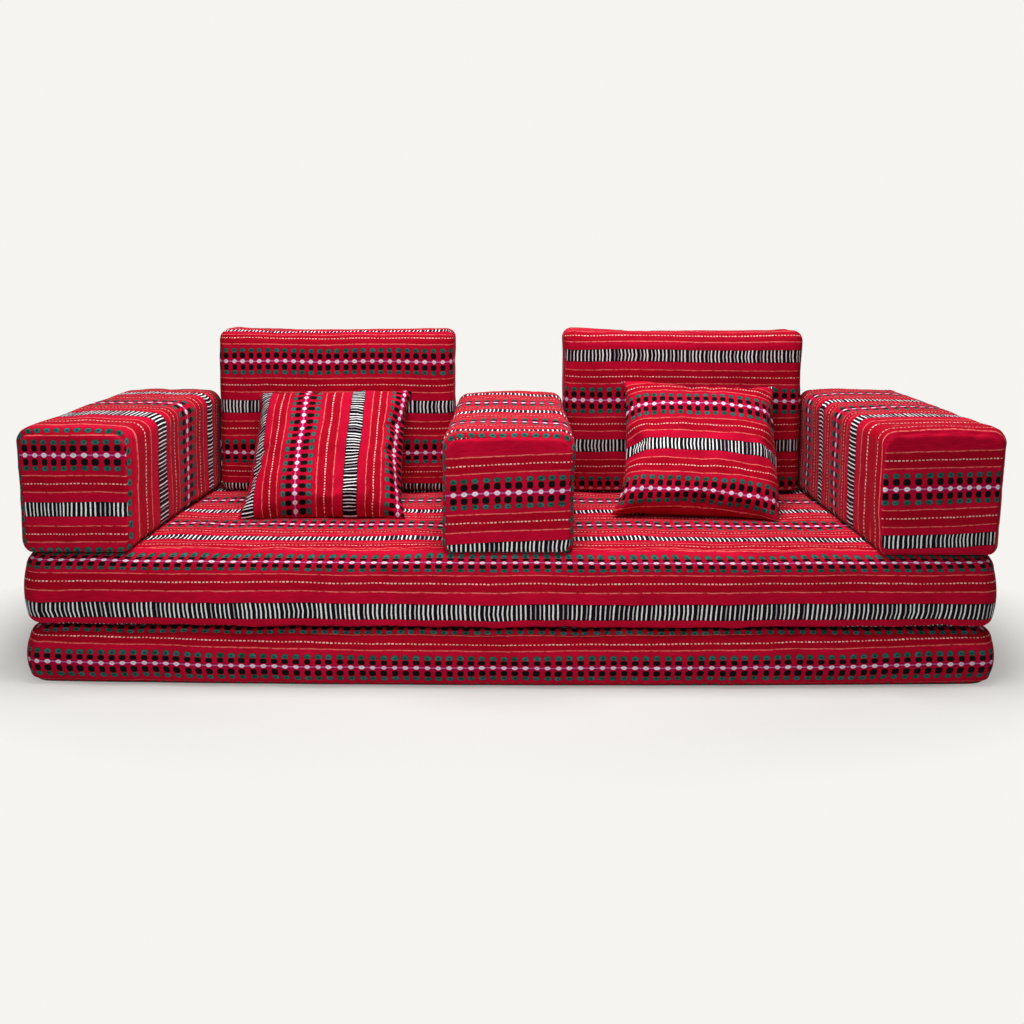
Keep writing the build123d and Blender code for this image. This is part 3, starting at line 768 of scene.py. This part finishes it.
def pillow_skin(count, size, thick):
    """Two domes sewn at their edges: x and y are the shares s and r of the half size, drawn in
    between the corners, and the height is (1 - s^2.6)(1 - r^2.6) to the power of 0.6."""
    draw, fall, power = 0.004, 2.6, 0.60
    share = np.linspace(-1, 1, count)
    s, r = np.meshgrid(share, share, indexing="ij")
    half = size / 2
    x = s * (half - draw * (1 - r**2) * np.abs(s) ** 3)
    y = r * (half - draw * (1 - s**2) * np.abs(r) ** 3)
    height = thick / 2 * ((1 - np.abs(s) ** fall) * (1 - np.abs(r) ** fall)) ** power
    front_ids = np.arange(count * count).reshape(count, count)
    back_ids = front_ids.copy()
    back_ids[1:-1, 1:-1] = count * count + np.arange((count - 2) ** 2).reshape(count - 2, count - 2)
    points = np.concatenate([
        np.stack([x, y, height], axis=2).reshape(-1, 3),
        np.stack([x, y, -height], axis=2)[1:-1, 1:-1].reshape(-1, 3),
    ])
    flat = np.stack([s, r], axis=2) * half
    quads = np.concatenate([quad_corners(front_ids, False), quad_corners(back_ids, True)])
    lie = np.concatenate([quad_corners(flat, False), quad_corners(flat, True)])
    edge = half - np.maximum(np.abs(x), np.abs(y))
    return points, quads, lie, np.concatenate([edge.ravel(), edge[1:-1, 1:-1].ravel()])


def stuffed(points, quads, frames, furthest):
    """Fills a sewn cover by a cloth simulation: steady pressure from inside and no gravity, so
    that it swells and wrinkles at its seams. No point moves further than the given distance."""
    mesh = bpy.data.meshes.new("stuffing_trial")
    mesh.from_pydata(points.tolist(), [], quads.tolist())
    trial = bpy.data.objects.new("stuffing_trial", mesh)
    bpy.context.scene.collection.objects.link(trial)
    settings = trial.modifiers.new("cloth", "CLOTH").settings
    settings.quality = 6
    settings.mass = 0.25
    settings.tension_stiffness = 22
    settings.compression_stiffness = 22
    settings.shear_stiffness = 12
    settings.bending_stiffness = 0.35
    settings.air_damping = 3
    settings.use_pressure = True
    settings.uniform_pressure_force = 4
    settings.effector_weights.gravity = 0
    for number in range(1, frames + 1):
        bpy.context.scene.frame_set(number)
    filled = trial.evaluated_get(bpy.context.evaluated_depsgraph_get()).data
    ends = np.empty(3 * len(points))
    filled.vertices.foreach_get("co", ends)
    bpy.data.objects.remove(trial)
    bpy.data.meshes.remove(mesh)
    bpy.context.scene.frame_set(1)
    moved = ends.reshape(-1, 3) - points
    far = np.linalg.norm(moved, axis=1, keepdims=True)
    return points + moved * np.minimum(1, furthest / np.maximum(far, 1e-9))


fibre_grey, fibre_pale = (0.62, 0.60, 0.56, 1), (0.90, 0.89, 0.86, 1)
fibre, tree = new_material("pillow_fibre", {"Specular IOR Level": 0.2, "Sheen Weight": 0.3})
fibre_place = node(tree, "TexCoord", output="Object")
fibre_noise = {"Vector": fibre_place, "Scale": 90, "Detail": 6, "Distortion": 1.5}
fibre_tuft = node(tree, "TexNoise", fibre_noise, "Fac")
finish(tree, mixed(fibre_tuft, fibre_grey, fibre_pale), ramp(fibre_tuft, 0.15, 0.8), fibre_tuft, 0.003)

pillow_size, pillow_thick, filling_room = 0.385, 0.1071, 0.010
crease_high, stuffed_move = 0.0030, 0.016
pillow_nodes = ("_front_panel", "_upper_back_flap", "_lower_back_flap")

# Each pillow: its tilt, spin and turn in degrees, how far its lower edge is pushed left, the
# way that its rows are counted (0 across, 1 up), their slant, their stretch along, and the rows
pillows = {
    "left_pillow": (46.0, -1.5, 0.0, 0.0, 0, 0.0, 1.12, ((-0.168, 1), (-0.058, 2), (0.069, 3), (0.179, 4))),
    "right_pillow": (42.0, 2.0, -3.0, 0.020, 1, 0.02, 1.08, ((-0.147, 0), (-0.030, 1), (0.088, 2))),
}
for order, (name, (tilt, spin, turn, low_push, way, slant, stretch, rows)) in enumerate(pillows.items()):
    points, quads, lie, gap = pillow_skin(76, pillow_size * 1.035, pillow_thick)
    inner, inner_quads, *_ = pillow_skin(
        40, pillow_size - 6 * filling_room, pillow_thick - 2.4 * filling_room
    )
    soft = np.clip(gap / 0.01, 0, 1)
    creases = unevenness(points * (1, 1, 0.2), 83 + 10 * order, 0.20, 0.03, crease_high)
    points[:, 2] += creases * soft * np.sign(points[:, 2])
    points = stuffed(points, quads, frames=20, furthest=stuffed_move)
    low_share = np.clip(-points[:, 1] / (pillow_size / 2), 0, 1)
    points, inner = (turned(turned(turned(skin, 2, -spin), 0, 90 - tilt), 2, turn)
                     for skin in (points, inner))
    boxes = np.array([[list(corner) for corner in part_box(name + part)] for part in pillow_nodes])
    low, high = boxes[:, 0].min(axis=0), boxes[:, 1].max(axis=0)
    place = np.array([(low[0] + high[0]) / 2 - (points[:, 0].max() + points[:, 0].min()) / 2,
                      high[1] - points[:, 1].max(), high[2] - points[:, 2].max()])
    points += place
    points[:, 0] -= low_push * low_share**2
    inner += place
    points[:, 2] = np.maximum(points[:, 2], stand)
    inner[:, 2] = np.maximum(inner[:, 2], stand + 2 * filling_room)
    lie = np.stack([lie[..., 1 - way] * stretch,
                    woven_rows(lie[..., way] + slant * lie[..., 1 - way], *rows)], axis=2)
    cover = add_piece(name + "_cover", points, quads, woven_cloth, lie)
    smooth = cover.modifiers.new("smooth", "SUBSURF")
    smooth.levels = smooth.render_levels = 1
    stands_for(cover, name, "woven_cloth", *pillow_nodes)
    filling = add_piece(name + "_stuffing", inner, inner_quads, fibre)
    stands_for(filling, name, "pillow_filling", "_filling")


# Zips: a nylon coil on woven tape let into each block cushion's cover, with a brass slider and
# pull. The coil's turns stand across the tape, and meet along its middle.
tape_wide, tape_thick, tape_edge, stop_long = 0.012, 0.001, 0.0004, 0.003
coil_wide, coil_high, coil_pitch = 0.0064, 0.0022, 0.0024
zip_sunk = 0.0012
zip_dark, zip_light = (0.13, 0.010, 0.016, 1), (0.19, 0.016, 0.024, 1)
zip_red, tree = new_material("zip_coil", {})
zip_place = node(tree, "TexCoord", output="Object")
zip_weave = node(tree, "TexNoise", {"Vector": zip_place, "Scale": 900}, "Fac")
zip_blotch = node(tree, "TexNoise", {"Vector": zip_place, "Scale": 40}, "Fac")
finish(tree, mixed(zip_blotch, zip_dark, zip_light), ramp(zip_weave, 0.3, 0.35), zip_weave, 0.0003)

brass_brown, brass_gold = (0.30, 0.20, 0.08, 1), (0.68, 0.50, 0.24, 1)
brass, tree = new_material("antique_brass", {"Metallic": 1.0})
brass_place = node(tree, "TexCoord", output="Object")
brass_cloud = node(tree, "TexNoise", {"Vector": brass_place, "Scale": 220, "Detail": 5}, "Fac")
finish(tree, mixed(brass_cloud, brass_brown, brass_gold), ramp(brass_cloud, 0.25, 0.25), brass_cloud, 0.0001)


def swept_strip(stations, sections, first):
    """Closed solid through like sections, points (y, z) anticlockwise as seen from +x, at each
    station along x, with a fan of triangles over each end. first is its first point's number."""
    count, around = sections.shape[:2]
    points = np.concatenate([np.broadcast_to(stations[:, None, None], (count, around, 1)), sections], axis=2)
    ids = first + np.arange(count * around).reshape(count, around)
    nxt = np.roll(ids, -1, axis=1)
    wall = np.stack([nxt[:-1], nxt[1:], ids[1:], ids[:-1]], axis=2).reshape(-1, 4)
    ends = np.array([points[0].mean(axis=0), points[-1].mean(axis=0)])
    low, high = np.full(around, first + count * around), np.full(around, first + count * around + 1)
    fans = np.stack([[low, nxt[0], ids[0]], [high, ids[-1], nxt[-1]]]).transpose(0, 2, 1).reshape(-1, 3)
    return np.concatenate([points.reshape(-1, 3), ends]), wall.tolist() + fans.tolist()


def zip_chain(length):
    """A zip chain along +x from its start, with its tape on z = 0, the coil above it and a stop at
    each end. A turn of the coil swells and shrinks in four steps, with a groove in its middle."""
    corner = radians(45) + np.linspace(0, 2 * np.pi, 8, endpoint=False)
    tape = np.stack([np.sign(np.cos(corner)) * (tape_wide / 2 - tape_edge) + tape_edge * np.cos(corner),
                     tape_thick / 2 + 0.0001 * np.sign(np.sin(corner)) + tape_edge * np.sin(corner)], axis=1)
    strips = [(np.linspace(0, length, 60), np.broadcast_to(tape, (60, 8, 2)))]
    turns = int((length - 2 * stop_long) / coil_pitch)
    stations = stop_long + np.arange(turns * 4 + 1) / 4 * (length - 2 * stop_long) / turns
    swell = 0.80 + 0.20 * np.tile([0.0, 0.9, 1.0, 0.9], turns + 1)[:len(stations), None]
    angle = np.linspace(0, 2 * np.pi, 12, endpoint=False)
    groove = 1 - 0.16 * np.exp(-(np.cos(angle) / 0.2) ** 2) * (np.sin(angle) > 0)
    level = tape_thick + coil_high / 2 - 0.0002 + coil_high / 2 * swell * np.sin(angle) * groove
    strips.append((stations, np.stack([coil_wide / 2 * swell * np.cos(angle), level], axis=2)))
    for start in (0.0002, length - stop_long + 0.0002):
        size = np.array([0.8, 1, 1, 0.8])[:, None]
        stop = np.stack([0.0030 * size * np.cos(angle), tape_thick + 0.0008 + 0.0011 * size * np.sin(angle)],
                        axis=2)
        strips.append((start + np.array([0, 0.0004, stop_long - 0.0012, stop_long - 0.0008]), stop))
    points, faces, used = [], [], 0
    for strip in strips:
        strip_points, strip_faces = swept_strip(*strip, used)
        points.append(strip_points)
        faces += strip_faces
        used += len(strip_points)
    return np.concatenate(points), faces


for name, (axis, low_end, high_end, level, face) in tapes.items():
    start, along, out = np.zeros((3, 3))
    along[axis] = -1
    out[1 - axis] = np.sign(face)
    start[[axis, 1 - axis, 2]] = high_end, face - np.sign(face) * zip_sunk, level
    points, faces = zip_chain(high_end - low_end)
    points = start + points @ np.array([along, np.cross(out, along), out])
    chain = add_piece(name + "_zip", points, faces, zip_red)
    stands_for(chain, name, "zip_coil", "_zip_chain")
    for part in ("_zip_slider", "_zip_pull"):
        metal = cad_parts[name + part]
        metal.data.materials.clear()
        metal.data.materials.append(brass)
